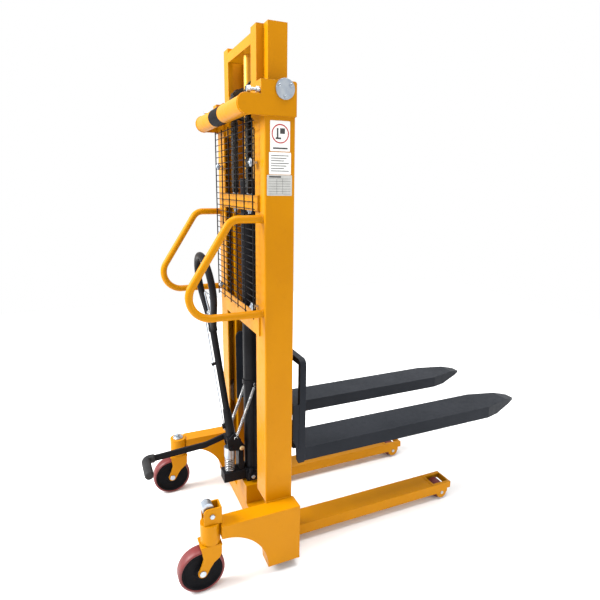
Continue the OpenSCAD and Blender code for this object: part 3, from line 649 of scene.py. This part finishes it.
def handle():
    m = Mesh()
    pts = []
    loop_r, reach = 118, 205
    half = math.asin(loop_r / reach)
    ring = NECK + reach
    for k in range(61):
        a = -half + (math.pi + 2 * half) * k / 60
        pts.append(on_handle(loop_r * math.cos(a), ring + loop_r * math.sin(a)))
    t = reach * math.cos(half)
    for k in range(1, 14):
        d = t * (1 - k / 14) + 8 * k / 14
        pts.append(on_handle(-d * math.sin(half), NECK + d * math.cos(half)))
    start = [on_handle(d * math.sin(half), NECK + d * math.cos(half))
             for d in (8 * (1 - k / 14) + t * k / 14 for k in range(1, 14))]
    m.tube(start + pts, 0.0138, 20, ref=BACK)
    m.lathe(on_handle(0, NECK), ALONG,
            [(0.3, 0), (17, 0), (18.5, 2), (18.5, 14), (17, 26), (14, 36), (0.3, 44)], 36)
    m.tube([on_handle(-62, LEVER_S), on_handle(62, LEVER_S)], 0.005, 16)
    m.put("loop_grip", BLK, "tiller", 45, ("tiller_loop",), "black_paint")


handle()


def lever():
    m = Mesh()
    s0 = LEVER_S
    m.lathe(on_handle(0, s0), (1, 0, 0), mirrored([(5.1, -24), (8.2, -24), (9, -23.2)]), 32)
    path = arc_path([on_handle(-14, s0 + 6), on_handle(-47, s0 + 88), on_handle(47, s0 + 88),
                     on_handle(14, s0 + 6)], [14, 14], 10)
    m.tube(dense(path, 6), 0.0032, 12, ref=BACK)
    tongue = [on_handle(x, s0 + h, b) for x in (-4, 4) for h, b in ((2, 7), (-5, 7), (-5, 27), (-1, 27))]
    m.add(tongue, BLOCK)
    m.put("lever_bow", ZNC, "lever", 40, ("release_lever",), "zinc")


lever()


def pedal():
    m = Mesh()
    path = arc_path([V(-38, -384, 373), V(-38, -421, 373), V(95, -421, 373)], [21], 8)
    pts = dense(path, 4)
    rs = [0.0190 if k % 2 else 0.0182 for k in range(len(pts))]
    rs[0] = 0.0165
    rs[-1] = 0.0125
    rs[-2] = 0.0172
    m.tube(pts, rs, 24, ref=(0, 0, 1))
    m.put("pedal_sleeve", RUB, "tiller", 25, ("pedal_grip",), "grip_rubber")
    bolt = Mesh()
    bolt.washer(V(-43, -193, 388), (-1, 0, 0), 9, 0, 1.4)
    bolt.hexagon(V(-43, -193, 388), (-1, 0, 0), 7.2, 1.4, 6.6)
    bolt.put("pedal_bolt", ZNC, "tiller", 30, (), "zinc")
    ends = Mesh()
    for s in (1, -1):
        ends.washer(V(s * 38.1, -14, 380), (s, 0, 0), 11, 0, 1.4)
        ends.lathe(V(s * 39.5, -14, 380), (s, 0, 0), [(0.2, 0), (8, 0), (8, 1.6), (6.6, 3), (0.2, 3)], 28)
    ends.put("rocker_bolts", GLD, "tiller", 30, (), "zinc")


pedal()


# ---- fasteners ----

BRAKE_Y, BRAKE_Z = -231, 321
STOP_X, STOP_Z, STUD_X = 300, 1831, 228


def fasteners():
    m = Mesh()
    for s in (1, -1):
        hub = V(320 * s, 70.5, 1837)
        for a in (33, 155, 268):
            p = hub + Vector((0, math.cos(math.radians(a)), math.sin(math.radians(a)))) * 0.024
            m.socket_screw(p, (s, 0, 0), 4.8, 4.6)
        m.hexagon(V(STOP_X * s, -59, STOP_Z), (0, 1, 0), 10.5, 0, 13)
        thread = dense([V(STOP_X * s, -46, STOP_Z), V(STOP_X * s, 0, STOP_Z)], 1.6)
        m.tube(thread, [0.006 if k % 2 else 0.0054 for k in range(len(thread))], 14)
        m.hexagon(V(STOP_X * s, -14, STOP_Z), (0, -1, 0), 10.5, 0, 13)
        for z in (1077.5, 1602.5):
            m.tube([V(STUD_X * s, -33, z), V(STUD_X * s, 0, z)], 0.004, 14)
            m.washer(V(STUD_X * s, -25.5, z), (0, 1, 0), 15, 0, 2, 4)
            m.hexagon(V(STUD_X * s, -25.5, z), (0, -1, 0), 7, 0, 5)
            m.washer(V(STUD_X * s, -19, z), (0, 1, 0), 13, 0, 2, 4)
            m.hexagon(V(STUD_X * s, -17, z), (0, 1, 0), 7, 0, 5)
    for s in (1, -1):
        m.hexagon(V(SWIVEL_X + 27 * s, BRAKE_Y, BRAKE_Z), (s, 0, 0), 10, 0, 6)
    m.tube([V(SWIVEL_X + 32 * s, BRAKE_Y, BRAKE_Z) for s in (-1, 1)], 0.006, 20)
    cap = V(-SWIVEL_X, -235, 285)
    m.lathe(cap, (0, 0, 1), [(0.2, 0), (24, 0), (24, 4), (21, 7), (19, 11.5), (0.2, 12)], 40)
    m.hexagon(cap, (0, 0, 1), 10, 12, 20)
    m.hexagon(V(60, 30, 239), (1, 0, 0), 9, 0, 7)
    m.put("bolts_and_nuts", ZNC, "frame", 30, ("fasteners",), "zinc")


fasteners()


# ---- labels ----

def labels():
    """Three generic plates on the right column's outer face: a pictogram, lines and a data table."""
    x = 308.05

    def plate(m, y0, y1, z0, z1, dx=0, th=0.35):
        r = 3
        pts = []
        corners = ((y1 - r, z1 - r), (y0 + r, z1 - r), (y0 + r, z0 + r), (y1 - r, z0 + r))
        for quarter, (cy, cz) in enumerate(corners):
            for k in range(5):
                a = math.radians(90 * quarter + 22.5 * k)
                pts.append((cy + r * math.cos(a), cz + r * math.sin(a)))
        m.add([V(x + dx + t, *p) for t in (0, th) for p in pts], prism_faces(len(pts)))

    def bar(m, y0, y1, z0, z1, dx=0.36):
        vs = [V(x + dx + t, y, z) for t in (0, 0.12) for y, z in ((y0, z0), (y1, z0), (y1, z1), (y0, z1))]
        m.add(vs, BLOCK)

    white, silver, ink, red = Mesh(), Mesh(), Mesh(), Mesh()
    plate(white, 20, 93, 1637.5, 1737)
    plate(white, 16, 97, 1560.6, 1634.6)
    plate(silver, 8, 101.5, 1488.5, 1558.8)
    c = V(x + 0.4, 57, 1695)
    ring = [c + Vector((0, math.cos(a), math.sin(a))) * 0.030
            for a in (2 * math.pi * k / 48 for k in range(48))]
    red.tube(ring, 0.0022, 6, closed=True)
    for v in range(len(red.v)):
        red.v[v].x = c.x + max(-0.0002, min(0.0002, red.v[v].x - c.x))
    bar(ink, 40, 60, 1677, 1683)
    bar(ink, 44, 50, 1683, 1713)
    bar(ink, 56, 74, 1695, 1713)
    bar(ink, 30, 84, 1645, 1650)
    for k in range(7):
        bar(ink, 23, 89 - 9 * (k % 3), 1622 - 8.5 * k, 1624.4 - 8.5 * k)
    for k in range(7):
        bar(ink, 14, 96, 1494 + 8.6 * k, 1494.9 + 8.6 * k)
    for y in (44, 66):
        bar(ink, y, y + 0.9, 1494, 1546)
    bar(ink, 16, 60, 1550, 1555)
    white.put("plates_white", WHT, "frame", 30, (), "zinc")
    silver.put("plate_silver", SIL, "frame", 30, (), "zinc")
    ink.put("plate_marks", INK, "frame", 30, (), "black_paint")
    red.put("plate_ring", INR, "frame", 30, (), "wheel_tread")


labels()


# ---- welds ----

TUBE_Z = 1784  # the cross tube's centre


def welds():
    m = Mesh()
    seam_x = 309  # just outside the columns' and side plates' outer faces
    for s in (1, -1):
        for z in (1431, 1488):
            weld(m, V(208 * s, -1, z), V(254 * s, -1, z), 2.4, z)
        weld(m, V(256 * s, -1, 1433), V(256 * s, -1, 1486), 2.8, 1)
        weld(m, V(256 * s, -1, 966), V(256 * s, -1, 1049), 2.8, 2)
        weld(m, V(seam_x * s, -1, 280), V(seam_x * s, 112, 280), 2.8, 3)
        weld(m, V(seam_x * s, 1, 279), V(seam_x * s, 1, 60), 2.8, 4)
        weld(m, V(seam_x * s, 113.4, 279), V(seam_x * s, 113.4, 60), 2.8, 9)
        weld(m, V(208 * s, -1, 119), V(300 * s, -1, 119), 2.6, 5)
        weld(m, V(161 * s, 106, 88), V(259 * s, 106, 88), 2.8, 6)
        weld(m, V(seam_x * s, -12, 1750.5), V(seam_x * s, 112, 1750.5), 2.4, 7)
        weld(m, V(seam_x * s, 113.5, 1752), V(seam_x * s, 113.5, 1854), 2.4, 8)
        weld(m, V((SWIVEL_X - 13) * s, -200.5, 280), V((SWIVEL_X + 13) * s, -200.5, 280), 2.6, 10)
        weld(m, V(161 * s, 897, 88), V(259 * s, 897, 88), 2.0, 11)
        ring = [V(307.2 * s, -62, TUBE_Z) + Vector((0, math.cos(a), math.sin(a))) * 0.0335
                for a in (2 * math.pi * k / 90 for k in range(90))]
        m.tube(ring, [0.0024 * (0.85 + 0.2 * math.sin(k * 2.1)) for k in range(90)], 6, closed=True)
    m.put("weld_beads", YEL, "frame", 60, (), "yellow_paint")
    car = Mesh()
    for s in (1, -1):
        weld(car, V(264.5 * s, 136, 471), V(264.5 * s, 136, 529), 2.4, 1)
        weld(car, V(264.5 * s, 136, 611), V(264.5 * s, 136, 659), 2.4, 2)
        weld(car, V(134 * s, 183, 471), V(262 * s, 183, 471), 2.4, 3)
        weld(car, V(284 * s, 154.5, 470), V(284 * s, 154.5, 660), 2.0, 4)
    car.put("carriage_welds", FRK, "carriage", 60, (), "black_paint")


welds()


# ---- small trim ----

def trim():
    """The black band round the middle of the cross tube."""
    m = Mesh()
    m.lathe(V(-20, -62, TUBE_Z), (1, 0, 0), mirrored([(33.1, -65), (33.5, -65)]), 64)
    m.put("tube_bands", HUB, "frame", 30, (), "black_paint")


trim()

floor_mat = bpy.data.materials.new("pale_floor")
floor_mat.use_nodes = True
bsdf = floor_mat.node_tree.nodes["Principled BSDF"]
bsdf.inputs["Base Color"].default_value = (0.88, 0.88, 0.88, 1)
bsdf.inputs["Roughness"].default_value = 0.8
bsdf.inputs["Specular IOR Level"].default_value = 0.0
fm = bpy.data.meshes.new("floor")
fm.from_pydata([(-4.5, -4.5, 0), (4.5, -4.5, 0), (4.5, 4.5, 0), (-4.5, 4.5, 0)], [], [[0, 1, 2, 3]])
fm.materials.append(floor_mat)
floor = bpy.data.objects.new("floor", fm)
scene.collection.objects.link(floor)
